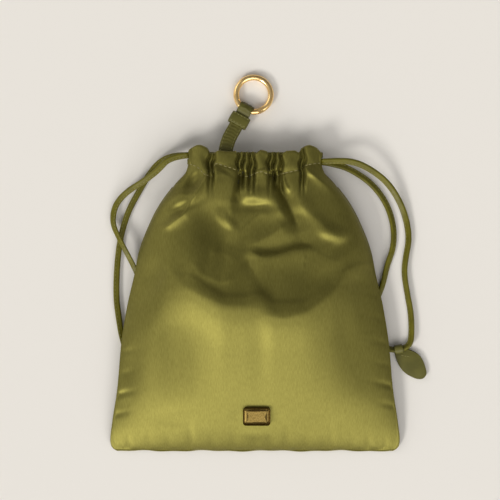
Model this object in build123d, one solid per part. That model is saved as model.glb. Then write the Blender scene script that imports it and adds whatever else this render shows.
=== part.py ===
"""Satin drawstring gift sack, lying on its back.

The body lies along Y with its hem at low Y, its gathered mouth and hang strap at high Y, and its front face up.
All sizes are in millimetres. Everything is modelled with the hem at y = 0 and moved to the centred origin when written.
"""
from build123d import *
import os
from math import asin, atan2, cos, degrees, hypot, pi, radians, sin, sqrt, tan

os.makedirs("parts", exist_ok=True)

# ---- the sack's body -------------------------------------------------------------------------
HEM_WIDTH = 199.0          # widest, just above the hem
BODY_LENGTH = 194.0        # hem to the casing's stitch line
BELLY_HEIGHT = 38.0        # how far the filled body stands off the table
SEAM_HEIGHT = 9.6          # height of the side seams along the belly
CLOTH = 0.9                # satin with its interlining
LINING = 0.5
LAYER_GAP = 0.15           # between a panel and its lining
SEAM_GAP = 0.1             # between the front and back layers at the side seam
FLAT_SHARE = 0.46          # part of the back's half width that lies flat
EDGE_FACTOR = 1.5          # a layer takes this many thicknesses of width at the side seam

# share of the length, share of the half width, share of the belly height, share of the seam height, underside
STATIONS = [
    (0.000, 0.955, 0.085, 0.17, 0.0),
    (0.030, 1.000, 0.220, 0.38, 0.0),
    (0.090, 0.991, 0.460, 0.66, 0.0),
    (0.227, 0.950, 0.800, 0.95, 0.0),
    (0.380, 0.923, 0.970, 1.00, 0.0),
    (0.515, 0.882, 1.000, 1.00, 0.0),
    (0.630, 0.832, 0.970, 1.00, 0.0),
    (0.710, 0.801, 0.910, 1.00, 0.0),
    (0.825, 0.714, 0.780, 1.00, 0.0),
    (0.881, 0.653, 0.700, 1.02, 0.6),
    (0.948, 0.553, 0.600, 1.10, 2.2),
]

# ---- casings (the folded tunnels round the mouth) ---------------------------------------------
CASING_LENGTH = 91.0       # gathered width of the mouth
CASING_HEIGHT = 13.0       # stitch line to mouth edge
CASING_DEPTH = 6.0
CASING_WALL = 0.8
CASING_CORNER = 1.2
BACK_CASING_Z = 3.0        # underside of the back casing
MOUTH_GAP = 5.5            # between the two casings

# ---- drawcords ---------------------------------------------------------------------------------
CORD_D = 3.4
CORD_FLOOR = 1.8           # centre height where the cord lies on the table
CORD_SPACING = 4.6         # between the two cords inside one casing
CORD_INSET = 2.8           # mouth edge to the left cord's centre
CORD_JOINT_GAP = 0.5       # between a cord's hidden stretch and its free loop

# ---- leather: strap, keeper, pull tabs ----------------------------------------------------------
LEATHER = 1.3
STRAP_WIDTH = 9.8
STRAP_ANGLE = 29.0         # plan angle from +Y at the ring
STRAP_SLOPE = 13.5         # rise towards the mouth
STRAP_STRAIGHT = 22.0      # straight stretch behind the loop
STRAP_HINGE = (-20.0, 1.8, 11.5)   # x, distance past the mouth edge, centre height
STRAP_EXIT_ANGLE = 12.0
STRAP_JOINT_GAP = 0.3
LOOP_PLACE = (-6.6, 29.5, 3.8)     # centre of the loop: x, distance past the mouth edge, height
LOOP_LEATHER = 1.0
LOOP_NECK = 5.4            # where the two layers come together
KEEPER_LENGTH = 8.0
KEEPER_WALL = 1.2
KEEPER_PLAY = 0.3          # clearance between the keeper and the strap, all round
KEEPER_SIDE = 0.9          # clearance on each side of the strap
KEEPER_START = 5.4         # from the loop's centre to the keeper's near edge
TAB_PLATE = 2.4
TAB_FOLD_WIDTH = 5.6
TAB_PLAY = 0.3             # clearance between the cord and the tab's fold
TAB_FOLD_LEATHER = 1.1
TAB_FLOOR = 0.2            # the leaf's height over the table

# ---- ring -----------------------------------------------------------------------------------------
RING_OUTER = 28.0
RING_WIRE = 4.0
RING_PLAY = 0.16
RING_BASE_ANGLES = (213.0, 294.0)  # the short arc held in the strap's loop
RING_TILT = -3.9
PIN_R = 0.6
PIN_PLAY = 0.03
LAP_GAP = 0.04
LAP_CLEAR = 0.2
RING_END_GAP = 0.7         # degrees, at the free end of the bow

# ---- emblem -----------------------------------------------------------------------------------------
EMBLEM_SIZE = (18.8, 13.0)
EMBLEM_THICK = 1.2
EMBLEM_PLACE = (1.1, 25.2)
EMBLEM_LIFT = 0.35

# ---- threads ----------------------------------------------------------------------------------------
STITCH = 3.2               # pitch
THREAD = 0.5               # width
THREAD_HIGH = 0.2

HALF = HEM_WIDTH / 2
MOUTH_Y = BODY_LENGTH + CASING_HEIGHT
CASING_Y = BODY_LENGTH + CASING_HEIGHT / 2
FRONT_CASING_Z = BACK_CASING_Z + CASING_DEPTH + MOUTH_GAP
BACK_CORD_Z = BACK_CASING_Z + CASING_DEPTH / 2
FRONT_CORD_Z = FRONT_CASING_Z + CASING_DEPTH / 2
MOUTH_Z = BACK_CASING_Z + CASING_DEPTH + MOUTH_GAP / 2
LEFT_CORD_Y = MOUTH_Y - CORD_INSET
RIGHT_CORD_Y = LEFT_CORD_Y - CORD_SPACING
EXIT_X = CASING_LENGTH / 2 + 0.7
PANEL_END = BODY_LENGTH - 0.05
NECK_EDGE = CASING_CORNER + 0.2    # how far the panels' ends stay inside the casing's flat side


def stations():
    """The body's cross-sections: y, half width, top, seam height, underside."""
    rows = []
    for along, wide, high, seam, low in STATIONS:
        rows.append((along * BODY_LENGTH, wide * HALF, high * BELLY_HEIGHT, seam * SEAM_HEIGHT, low))
    neck_top = FRONT_CASING_Z + CASING_DEPTH - NECK_EDGE
    neck_low = BACK_CASING_Z + NECK_EDGE
    rows.append((PANEL_END, CASING_LENGTH / 2 + 1.0, neck_top, MOUTH_Z, neck_low))
    return rows


def arch(u):
    """Height of the front panel across the body, 1 in the middle and 0 at the seam."""
    return (1 - abs(u) ** 2.4) ** 0.8


def rise(u):
    """Height of the back panel across the body: 0 where it lies flat, 1 at the seam."""
    v = (abs(u) - FLAT_SHARE) / (1 - FLAT_SHARE)
    return v * v * (3 - 2 * v)


ACROSS = [-1, -0.97, -0.9, -0.78, -0.6, -0.38, -0.13, 0.13, 0.38, 0.6, 0.78, 0.9, 0.97, 1]
RISING = [FLAT_SHARE + (1 - FLAT_SHARE) * i / 5 for i in range(6)]


def closed_section(y, edges):
    """A face at y whose edges are given in the XZ plane."""
    return Pos(0, y, 0) * make_face(Wire(edges))


def front_section(y, half, top, seam, inset, thick):
    seam += SEAM_GAP / 2
    outer_half, inner_half = half - EDGE_FACTOR * inset, half - EDGE_FACTOR * (inset + thick)
    outer_top, inner_top = top - inset, top - inset - thick
    outer = [Vector(u * outer_half, 0, seam + (outer_top - seam) * arch(u)) for u in ACROSS]
    inner = [Vector(u * inner_half, 0, seam + (inner_top - seam) * arch(u)) for u in reversed(ACROSS)]
    edges = [Spline(*outer), Line(outer[-1], inner[0]), Spline(*inner), Line(inner[-1], outer[0])]
    return closed_section(y, [e.edge() for e in edges])


def back_section(y, half, low, seam, inset, thick):
    seam -= SEAM_GAP / 2
    outer_half, inner_half = half - EDGE_FACTOR * inset, half - EDGE_FACTOR * (inset + thick)
    outer_low, inner_low = low + inset, low + inset + thick
    outer = [Vector(u * outer_half, 0, outer_low + (seam - outer_low) * rise(u)) for u in RISING]
    inner = [Vector(u * inner_half, 0, inner_low + (seam - inner_low) * rise(u)) for u in RISING]
    outer_left = [Vector(-p.X, 0, p.Z) for p in reversed(outer)]
    inner_left = [Vector(-p.X, 0, p.Z) for p in inner]
    edges = [
        Spline(*outer_left), Line(outer_left[-1], outer[0]), Spline(*outer), Line(outer[-1], inner[-1]),
        Spline(*reversed(inner)), Line(inner[0], inner_left[0]), Spline(*inner_left),
        Line(inner_left[-1], outer_left[0]),
    ]
    return closed_section(y, [e.edge() for e in edges])


def front_layer(rows, inset, thick):
    return loft([front_section(y, half, top, seam, inset, thick) for y, half, top, seam, low in rows], ruled=True)


def back_layer(rows, inset, thick):
    return loft([back_section(y, half, low, seam, inset, thick) for y, half, top, seam, low in rows], ruled=True)


def lining_rows():
    """Linings start a little above the hem, where there is room for them."""
    return [row for row in stations() if row[0] > 0.02 * BODY_LENGTH]


def casing(low_z):
    """A folded tunnel of cloth along the mouth, open at both ends for the cords."""
    outside = RectangleRounded(CASING_HEIGHT, CASING_DEPTH, CASING_CORNER)
    inside = RectangleRounded(CASING_HEIGHT - 2 * CASING_WALL, CASING_DEPTH - 2 * CASING_WALL, CASING_CORNER / 2)
    tube = extrude(Plane.YZ * (outside - inside), CASING_LENGTH / 2, both=True)
    return Pos(0, CASING_Y, low_z + CASING_DEPTH / 2) * tube


def bar_row(points, turn=0.0, long=STITCH * 0.72, high=THREAD_HIGH):
    """Stitches: one small bar at each point, turned in plan."""
    bar = Box(long, THREAD, high, align=(Align.CENTER, Align.CENTER, Align.MIN))
    return Compound([Pos(*p) * Rot(0, 0, turn) * bar for p in points])


def spaced(start, end, pitch=STITCH):
    count = max(1, int((end - start) / pitch))
    return [start + (end - start) * (i + 0.5) / count for i in range(count)]


def casing_stitch(z):
    inset = CASING_CORNER + 0.8
    return bar_row([(x, BODY_LENGTH + inset, z) for x in spaced(-CASING_LENGTH / 2, CASING_LENGTH / 2)])


def body_at(y):
    """Half width, top, seam height and underside at any y on the body, between its stations."""
    rows = stations()
    for low, high in zip(rows, rows[1:]):
        if y <= high[0]:
            share = (y - low[0]) / (high[0] - low[0])
            return [a + (b - a) * share for a, b in zip(low[1:], high[1:])]
    return list(rows[-1][1:])


def side_seam_thread(side):
    """The seam's stitches, inside the sack next to the turned-in edges."""
    inset = EDGE_FACTOR * (CLOTH + LAYER_GAP + LINING) + 2.0
    stitches = []
    for y in spaced(0.1 * BODY_LENGTH, 0.95 * BODY_LENGTH, 4.0):
        half, top, seam, low = body_at(y)
        stitches.append(Pos(side * (half - inset), y, seam + 0.5) * Box(THREAD, 2.6, 0.3))
    return Compound(stitches)


def bottom_seam_thread():
    """The hem's stitches, between the front and back layers."""
    half, top, seam, low = body_at(1.4)
    stitches = []
    for x in spaced(-0.78 * half, 0.78 * half):
        under = low + CLOTH + (seam - low - CLOTH) * rise(max(FLAT_SHARE, abs(x) / half))
        over = seam + (top - CLOTH - seam) * arch(x / half)
        stitches.append(Pos(x, 1.4, (under + over) / 2) * Box(STITCH * 0.7, THREAD, 0.3))
    return Compound(stitches)


# ---- strap, keeper and ring -----------------------------------------------------------------------
RING_R = (RING_OUTER - RING_WIRE) / 2
SAGITTA = RING_R - sqrt(RING_R ** 2 - (STRAP_WIDTH / 2) ** 2)
TUNNEL_R = RING_WIRE / 2 + SAGITTA / 2 + RING_PLAY
LOOP_R = TUNNEL_R + LOOP_LEATHER
LOOP = Vector(LOOP_PLACE[0], MOUTH_Y + LOOP_PLACE[1], LOOP_PLACE[2])
AWAY = Vector(sin(radians(STRAP_ANGLE)), cos(radians(STRAP_ANGLE)), 0)      # strap to ring, in plan
SIDEWAYS = Vector(cos(radians(STRAP_ANGLE)), -sin(radians(STRAP_ANGLE)), 0)
BACKWARD = Vector(-AWAY.X * cos(radians(STRAP_SLOPE)), -AWAY.Y * cos(radians(STRAP_SLOPE)), sin(radians(STRAP_SLOPE)))
STRAP_PLANE = Plane(origin=LOOP, x_dir=BACKWARD, z_dir=SIDEWAYS * -1)       # x: towards the mouth, y: up
HINGE = Vector(STRAP_HINGE[0], MOUTH_Y + STRAP_HINGE[1], STRAP_HINGE[2])


def rectangle_at(point, plan_angle, slope, wide, thick):
    """A strap cross-section at a point; the strap runs towards plan_angle and drops by slope."""
    along = Vector(sin(radians(plan_angle)) * cos(radians(slope)), cos(radians(plan_angle)) * cos(radians(slope)),
                   -sin(radians(slope)))
    across = Vector(cos(radians(plan_angle)), -sin(radians(plan_angle)), 0)
    return Plane(origin=point, x_dir=across, z_dir=along) * Rectangle(wide, thick)


def on_strap(distance, up=0.0):
    """A point on the strap's straight stretch, measured from the loop's centre."""
    return STRAP_PLANE.from_local_coords(Vector(distance, up, 0))


def strap():
    half = LEATHER
    angle = atan2(half, LOOP_NECK) + asin(LOOP_R / hypot(LOOP_NECK, half))
    touch = hypot(LOOP_NECK, half) * cos(asin(LOOP_R / hypot(LOOP_NECK, half)))
    slope = angle - 2 * atan2(half, LOOP_NECK)
    tx, ty = LOOP_NECK - touch * cos(slope), half + touch * sin(slope)
    wedge = make_face(Polyline((tx, ty), (LOOP_NECK, half), (LOOP_NECK, -half), (tx, -ty), close=True))
    flat = Pos(STRAP_STRAIGHT / 2, 0) * Rectangle(STRAP_STRAIGHT, 2 * half)
    side_view = Circle(LOOP_R) + wedge + flat - Circle(TUNNEL_R)
    straight = extrude(STRAP_PLANE * side_view, STRAP_WIDTH / 2, both=True)
    end = on_strap(STRAP_STRAIGHT)
    start = HINGE + Vector(sin(radians(STRAP_EXIT_ANGLE)), cos(radians(STRAP_EXIT_ANGLE)), 0) * STRAP_JOINT_GAP
    middle = (start + end) * 0.5 + Vector(-0.35, 0.1, 0.1)
    bend = loft([
        rectangle_at(end, STRAP_ANGLE, STRAP_SLOPE, STRAP_WIDTH, 2 * half),
        rectangle_at(middle, (STRAP_ANGLE + STRAP_EXIT_ANGLE) / 2, STRAP_SLOPE, STRAP_WIDTH, 2 * half),
        rectangle_at(start, STRAP_EXIT_ANGLE, 0, STRAP_WIDTH, 2 * half),
    ])
    return straight + bend


def strap_stitch():
    """Two rows of stitches along the strap's straight stretch."""
    bars = []
    for side in (-1, 1):
        for d in spaced(LOOP_NECK + 0.5, STRAP_STRAIGHT - 0.5):
            place = Plane(origin=on_strap(d, LEATHER) + SIDEWAYS * side * (STRAP_WIDTH / 2 - 1.4),
                          x_dir=BACKWARD, z_dir=STRAP_PLANE.y_dir)
            bars.append(place * Pos(0, 0, THREAD_HIGH / 4) * Box(STITCH * 0.7, THREAD, THREAD_HIGH / 2))
    return Compound(bars)


def strap_root():
    """The strap's sewn-in end, from the mouth edge down to the back lining."""
    lining_top = body_at(0.93 * BODY_LENGTH)[3] + CLOTH + LAYER_GAP + LINING
    points = [
        (HINGE - Vector(0.06, STRAP_JOINT_GAP, 0), STRAP_EXIT_ANGLE, 0),
        (Vector(HINGE.X - 1.4, BODY_LENGTH + 4, BACK_CASING_Z + CASING_DEPTH + LEATHER + 0.6), 8, 0),
        (Vector(HINGE.X - 2.0, BODY_LENGTH - 2, BACK_CASING_Z + CASING_DEPTH + LEATHER + 0.2), 6, -14),
        (Vector(HINGE.X - 3.0, 0.93 * BODY_LENGTH, lining_top + LEATHER + 0.8), 4, -16),
    ]
    return loft([rectangle_at(p, angle, slope, STRAP_WIDTH, 2 * LEATHER) for p, angle, slope in points])


def keeper():
    """A stitched leather band that slides along the strap."""
    inside_wide, inside_high = STRAP_WIDTH + 2 * KEEPER_SIDE, 2 * (LEATHER + KEEPER_PLAY)
    outside = RectangleRounded(inside_high + 2 * KEEPER_WALL, inside_wide + 2 * KEEPER_WALL, KEEPER_WALL)
    band = extrude(outside - Rectangle(inside_high, inside_wide), KEEPER_LENGTH)
    place = Plane(origin=on_strap(KEEPER_START), x_dir=STRAP_PLANE.y_dir, z_dir=BACKWARD)
    return place * band


def keeper_stitch():
    bars = []
    high = LEATHER + KEEPER_PLAY + KEEPER_WALL
    for d in (KEEPER_START + 1.3, KEEPER_START + KEEPER_LENGTH - 1.3):
        for side in spaced(-STRAP_WIDTH / 2 - 0.6, STRAP_WIDTH / 2 + 0.6, 2.9):
            place = Plane(origin=on_strap(d, high) + SIDEWAYS * side, x_dir=SIDEWAYS, z_dir=STRAP_PLANE.y_dir)
            bars.append(place * Pos(0, 0, THREAD_HIGH / 2) * Box(STITCH * 0.65, THREAD, THREAD_HIGH))
    return Compound(bars)


RING_CENTRE = LOOP + AWAY * (RING_R - SAGITTA / 2)
TILT_AXIS = Axis(LOOP, SIDEWAYS)


def ring_point(angle):
    return RING_CENTRE + Vector(cos(radians(angle)), sin(radians(angle)), 0) * RING_R


def ring_arc(start, end):
    """Wire bent round the ring's centre between two plan angles."""
    path = CenterArc(RING_CENTRE, RING_R, start, end - start)
    return sweep(Plane(origin=path @ 0, z_dir=path % 0) * Circle(RING_WIRE / 2), path=path)


def ring_parts():
    """The short base in the strap's loop, the long bow hinged on it, and the hinge pin."""
    start, end = RING_BASE_ANGLES
    pivot = ring_point(end)
    half = RING_WIRE / 2
    disc_r, deep = half - 0.05, half - 0.1
    room = Pos(*pivot) * Cylinder(half + LAP_CLEAR, 3 * half, align=(Align.CENTER, Align.CENTER, Align.MIN))
    bore = Pos(*pivot) * Cylinder(PIN_R + PIN_PLAY, 4 * half)
    low_disc = Pos(*pivot) * Pos(0, 0, -deep) * Cylinder(disc_r, deep - LAP_GAP,
                                                        align=(Align.CENTER, Align.CENTER, Align.MIN))
    high_disc = Pos(*pivot) * Pos(0, 0, LAP_GAP) * Cylinder(disc_r, deep - LAP_GAP,
                                                           align=(Align.CENTER, Align.CENTER, Align.MIN))
    base = ring_arc(start, end) - Pos(0, 0, -LAP_GAP) * room + low_disc - bore
    bow = ring_arc(end, start + 360 - RING_END_GAP) - Pos(0, 0, LAP_GAP - 3 * half) * room + high_disc - bore
    pin = Pos(*pivot) * Cylinder(PIN_R, 2 * deep)
    return [piece.rotate(TILT_AXIS, RING_TILT) for piece in (base, bow, pin)]


# ---- drawcords ---------------------------------------------------------------------------------------
# the cord's straight run through each tab's fold, from the end by the leaf's straight edge to the other
RIGHT_TAB = (Vector(92.6, 68.9, 0), Vector(107.6, 71.5, 0))
LEFT_TAB = (Vector(-88.6, 66.4, 0), Vector(-75.0, 61.5, 0))
TAB_CORD_Z = TAB_FLOOR + CORD_D / 2 + TAB_PLAY + TAB_FOLD_LEATHER

RIGHT_ROUTE = [
    (EXIT_X, RIGHT_CORD_Y, FRONT_CORD_Z), (57, 200.4, 16.6), (69, 199.6, 14.2), (81, 193.8, 10.6), (92, 185.2, 7.0),
    (100.4, 172.5, 4.0), (105.4, 158.8, 2.0), (106.9, 145.8, CORD_FLOOR), (104.6, 134.5, CORD_FLOOR),
    (103.2, 123.5, CORD_FLOOR), (105.3, 109.5, CORD_FLOOR), (108.0, 96, 2.2), (108.6, 83.5, 2.9),
    (RIGHT_TAB[1].X, RIGHT_TAB[1].Y, TAB_CORD_Z), (RIGHT_TAB[0].X, RIGHT_TAB[0].Y, TAB_CORD_Z), (87.4, 76, 2.6),
    (81.6, 87, CORD_FLOOR), (82.8, 101, CORD_FLOOR), (88.6, 114, CORD_FLOOR), (91.4, 127.9, CORD_FLOOR),
    (96.2, 141, CORD_FLOOR), (96.2, 156, CORD_FLOOR), (91.4, 171, 2.0), (82, 183.8, 3.0), (70.5, 192.2, 4.4),
    (58.4, 197.8, 5.7), (EXIT_X, RIGHT_CORD_Y, BACK_CORD_Z),
]
LEFT_ROUTE = [
    (-EXIT_X, LEFT_CORD_Y, BACK_CORD_Z), (-56, 204.6, 5.2), (-66.4, 199.8, 4.0), (-74, 190.6, 2.4),
    (-80.4, 179.6, CORD_FLOOR), (-87.4, 167, CORD_FLOOR), (-92, 153, CORD_FLOOR), (-94.6, 138.9, CORD_FLOOR),
    (-96, 122, CORD_FLOOR), (-96.2, 105, CORD_FLOOR), (-94.4, 91, CORD_FLOOR), (-92.4, 78.6, 2.4),
    (LEFT_TAB[0].X, LEFT_TAB[0].Y, TAB_CORD_Z), (LEFT_TAB[1].X, LEFT_TAB[1].Y, TAB_CORD_Z), (-70.6, 71.4, 2.6),
    (-71.8, 84.4, CORD_FLOOR), (-72.4, 98.4, CORD_FLOOR), (-77.4, 112, CORD_FLOOR), (-82.4, 124.4, 3.2),
    (-88, 136, 8.6), (-93.6, 146.6, 8.6), (-99, 157.6, 3.4), (-97.2, 170.2, 2.6), (-88.6, 179.4, 5.8),
    (-77, 186.2, 10.6), (-66.8, 193.6, 14.4), (-58.6, 203, 17), (-EXIT_X, LEFT_CORD_Y, FRONT_CORD_Z),
]


def corner_radii(points):
    """The largest tangent arc that each corner's two runs leave room for."""
    radii = []
    for before, corner, after in zip(points, points[1:], points[2:]):
        first, second = corner - before, after - corner
        half_turn = radians(first.get_angle(second)) / 2
        radii.append(0.45 * min(first.length, second.length) / tan(half_turn))
    return radii


def cord_tube(name, route):
    points = [Vector(*p) for p in route]
    radii = corner_radii(points)
    path = FilletPolyline(*points, radius=radii)
    wire = path.wire()
    tube = sweep(Plane(origin=wire @ 0, z_dir=wire % 0) * Circle(CORD_D / 2), path=wire)
    section = pi * (CORD_D / 2) ** 2
    print(f"{name}: length {wire.length:.1f}, volume {tube.volume:.1f} against {section * wire.length:.1f}")
    print("   radii", " ".join(f"{r:.1f}" for r in radii))
    return tube


def inner_cord(side, cord_y):
    """The hidden stretch: through the front casing, round the far end and back through the back casing."""
    near, far = side * (EXIT_X - CORD_JOINT_GAP), -side * EXIT_X
    turn_r = (FRONT_CORD_Z - BACK_CORD_Z) / 2
    path = Wire([
        Line((near, cord_y, FRONT_CORD_Z), (far, cord_y, FRONT_CORD_Z)).edge(),
        ThreePointArc((far, cord_y, FRONT_CORD_Z), (far - side * turn_r, cord_y, BACK_CORD_Z + turn_r),
                      (far, cord_y, BACK_CORD_Z)).edge(),
        Line((far, cord_y, BACK_CORD_Z), (near, cord_y, BACK_CORD_Z)).edge(),
    ])
    return sweep(Plane(origin=path @ 0, z_dir=path % 0) * Circle(CORD_D / 2), path=path)


# ---- pull tabs ---------------------------------------------------------------------------------------
# leaf outline in the tab's own frame: x along the fold, y from the fold towards the tip
LEAF = [(-2.8, 0.6), (-2.5, 5.4), (-0.2, 14.2), (2.8, 18.1), (8.0, 21.9), (12.1, 23.1), (14.9, 22.0), (16.5, 18.7),
        (15.6, 11.3), (13.5, 6.7), (7.5, 2.6), (2.8, 2.6)]
TAB_SHIFT = 0.7            # the fold sits this much nearer the run's first end


def tab_frame(ends):
    """The fold's middle, with x along the cord, y towards the leaf's tip and z down."""
    first, last = ends
    along = (last - first).normalized()
    middle = (first + last) * 0.5 - along * TAB_SHIFT + Vector(0, 0, TAB_CORD_Z)
    return Plane(origin=middle, x_dir=along, z_dir=(0, 0, -1))


def pull_tab(ends):
    """A leaf of doubled leather folded over the cord."""
    outline = Polyline(LEAF[0], LEAF[1]) + Spline(*LEAF[1:10]) + Polyline(*LEAF[9:]) + Line(LEAF[-1], LEAF[0])
    leaf = Pos(0, 0, TAB_CORD_Z - TAB_FLOOR - TAB_PLATE) * extrude(make_face(outline.edges()), TAB_PLATE)
    fold = Rot(0, 90, 0) * Cylinder(CORD_D / 2 + TAB_PLAY + TAB_FOLD_LEATHER, TAB_FOLD_WIDTH)
    tunnel = Rot(0, 90, 0) * Cylinder(CORD_D / 2 + TAB_PLAY, 10 * TAB_FOLD_WIDTH)
    return tab_frame(ends) * (leaf + fold - tunnel)


def pull_tab_stitch(ends):
    """A short row of stitches that closes the fold."""
    above = TAB_CORD_Z - TAB_FLOOR - TAB_PLATE - THREAD_HIGH / 2
    bars = [Pos(2.6 + 1.3 * step, 4.6 + 2.2 * step, above) * Rot(0, 0, 59) * Box(1.7, THREAD, THREAD_HIGH)
            for step in range(3)]
    return tab_frame(ends) * Compound(bars)


def emblem_plate():
    """A plain rounded plaque low on the front."""
    x, y = EMBLEM_PLACE
    reach = EMBLEM_SIZE[1] / 2
    low, high = body_at(y - reach)[1], body_at(y + reach)[1]
    middle = max(body_at(y)[1], (low + high) / 2)
    plate = extrude(RectangleRounded(*EMBLEM_SIZE, 2.4), EMBLEM_THICK)
    plate = fillet(plate.faces().sort_by(Axis.Z)[-1].edges(), 0.35)
    tilt = degrees(atan2(high - low, 2 * reach))
    return Pos(x, y, middle + EMBLEM_LIFT) * Rot(tilt, 0, 0) * plate


def build():
    base, bow, pin = ring_parts()
    return {
        "front_panel": front_layer(stations(), 0.0, CLOTH),
        "back_panel": back_layer(stations(), 0.0, CLOTH),
        "front_lining": front_layer(lining_rows(), CLOTH + LAYER_GAP, LINING),
        "back_lining": back_layer(lining_rows(), CLOTH + LAYER_GAP, LINING),
        "front_casing": casing(FRONT_CASING_Z),
        "back_casing": casing(BACK_CASING_Z),
        "front_casing_stitch": casing_stitch(FRONT_CASING_Z + CASING_DEPTH),
        "back_casing_stitch": casing_stitch(BACK_CASING_Z - THREAD_HIGH),
        "side_seam_thread_left": side_seam_thread(-1),
        "side_seam_thread_right": side_seam_thread(1),
        "bottom_seam_thread": bottom_seam_thread(),
        "drawcord_right_loop": cord_tube("right loop", RIGHT_ROUTE),
        "drawcord_left_loop": cord_tube("left loop", LEFT_ROUTE),
        "drawcord_right_inner": inner_cord(1, RIGHT_CORD_Y),
        "drawcord_left_inner": inner_cord(-1, LEFT_CORD_Y),
        "pull_tab_right": pull_tab(RIGHT_TAB),
        "pull_tab_left": pull_tab(LEFT_TAB),
        "pull_tab_right_stitch": pull_tab_stitch(RIGHT_TAB),
        "pull_tab_left_stitch": pull_tab_stitch(LEFT_TAB),
        "strap_root": strap_root(),
        "strap": strap(),
        "strap_stitch": strap_stitch(),
        "keeper": keeper(),
        "keeper_stitch": keeper_stitch(),
        "ring_base": base,
        "ring_bow": bow,
        "ring_pin": pin,
        "emblem_plate": emblem_plate(),
    }


pieces = build()
middle_y = pieces["ring_bow"].bounding_box().max.Y / 2
print(f"hem at y = {-middle_y:.3f}")
for node, shape in pieces.items():
    export_step(Pos(0, -middle_y, 0) * shape, f"parts/{node}.step")
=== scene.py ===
"""Satin drawstring gift sack: looks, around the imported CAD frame."""
import math

import bpy
import numpy as np
from mathutils import Matrix, Vector


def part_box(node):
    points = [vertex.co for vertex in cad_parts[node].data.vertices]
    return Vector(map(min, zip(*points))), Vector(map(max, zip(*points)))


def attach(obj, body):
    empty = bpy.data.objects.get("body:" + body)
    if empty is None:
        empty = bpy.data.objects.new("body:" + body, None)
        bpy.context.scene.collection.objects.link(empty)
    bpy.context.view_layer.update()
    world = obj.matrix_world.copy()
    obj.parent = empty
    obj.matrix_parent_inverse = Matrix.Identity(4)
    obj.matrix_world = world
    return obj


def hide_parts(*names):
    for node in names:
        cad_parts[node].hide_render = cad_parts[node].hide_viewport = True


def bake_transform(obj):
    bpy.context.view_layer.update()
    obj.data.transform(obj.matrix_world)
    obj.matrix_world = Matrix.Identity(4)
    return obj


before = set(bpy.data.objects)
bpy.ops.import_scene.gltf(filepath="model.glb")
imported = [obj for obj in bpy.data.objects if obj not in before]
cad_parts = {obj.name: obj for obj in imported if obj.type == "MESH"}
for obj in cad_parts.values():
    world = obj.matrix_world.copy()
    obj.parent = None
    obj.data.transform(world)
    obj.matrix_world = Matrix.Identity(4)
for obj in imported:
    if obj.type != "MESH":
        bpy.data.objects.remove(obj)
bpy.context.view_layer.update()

MM = 0.001
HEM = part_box("front_panel")[0][1]          # the hem's y; the millimetre values below count from it
SCENE = bpy.context.scene


# ---- small helpers -------------------------------------------------------
def place(x, y, z):
    """A point in metres in the frame, from millimetres counted from the hem."""
    return Vector((x * MM, y * MM + HEM, z * MM))


def set_mode(mode):
    bpy.ops.object.mode_set(mode=mode)


def clear_selection():
    if bpy.context.object and bpy.context.object.mode != "OBJECT":
        set_mode("OBJECT")
    bpy.ops.object.select_all(action="DESELECT")


def select_only(obj):
    clear_selection()
    obj.select_set(True)
    bpy.context.view_layer.objects.active = obj


def new_object(name, data):
    obj = bpy.data.objects.new(name, data)
    SCENE.collection.objects.link(obj)
    return obj


def smooth(values, low, high):
    """0 below low, 1 above high, and a smooth ramp between."""
    t = np.clip((values - low) / (high - low), 0, 1)
    return t * t * (3 - 2 * t)


def curve_through(points):
    """A smooth function through (position, value) pairs, without overshoot."""
    xs = np.array([p[0] for p in points], float)
    vs = np.array([p[1] for p in points], float)
    steps = np.diff(vs) / np.diff(xs)
    slopes = np.zeros(len(xs))
    for i in range(1, len(xs) - 1):
        if steps[i - 1] * steps[i] > 0:
            slopes[i] = 2 * steps[i - 1] * steps[i] / (steps[i - 1] + steps[i])
    slopes[0], slopes[-1] = steps[0], steps[-1]

    def value(at):
        at = np.clip(np.asarray(at, float), xs[0], xs[-1])
        i = np.clip(np.searchsorted(xs, at) - 1, 0, len(xs) - 2)
        wide = xs[i + 1] - xs[i]
        t = (at - xs[i]) / wide
        h00, h10 = 2 * t**3 - 3 * t**2 + 1, t**3 - 2 * t**2 + t
        h01, h11 = -2 * t**3 + 3 * t**2, t**3 - t**2
        return h00 * vs[i] + h10 * wide * slopes[i] + h01 * vs[i + 1] + h11 * wide * slopes[i + 1]

    return value


def piece(name, points, faces, is_smooth=lambda face: True):
    """A new piece from points in metres; is_smooth says which of its faces are shaded smooth."""
    mesh = bpy.data.meshes.new(name)
    mesh.from_pydata(points, [], faces)
    mesh.update()
    for face in mesh.polygons:
        face.use_smooth = is_smooth(face)
    return new_object(name, mesh)


def lay_weave(obj):
    """The satin's own coordinates, which run with the cloth's warp and weft."""
    weave = obj.data.uv_layers.new(name="cloth")
    for loop in obj.data.loops:
        weave.data[loop.index].uv = [c * 10 for c in obj.data.vertices[loop.vertex_index].co[:2]]


def grid_sheet(name, xs, ys, zs, flip=False):
    """A sheet of quads from rows of points in millimetres; it faces up unless flipped."""
    rows, cols = xs.shape
    points = np.stack([xs * MM, ys * MM + HEM, zs * MM], axis=-1).reshape(-1, 3)
    corner = (np.arange(rows - 1)[:, None] * cols + np.arange(cols - 1)[None, :]).ravel()
    quads = np.stack([corner, corner + 1, corner + cols + 1, corner + cols], axis=-1)
    if flip:
        quads = quads[:, ::-1]
    sheet = piece(name, points.tolist(), quads.tolist())
    lay_weave(sheet)
    return sheet


def apply_modifier(obj, kind, **settings):
    select_only(obj)
    modifier = obj.modifiers.new(kind.title(), kind)
    for key, value in settings.items():
        setattr(modifier, key, value)
    bpy.ops.object.modifier_apply(modifier=modifier.name)


def dress(obj, material, body=None):
    """Gives a piece its material, and lets it ride on a body."""
    obj.data.materials.clear()
    obj.data.materials.append(material)
    if body:
        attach(obj, body)
    return obj


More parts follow.
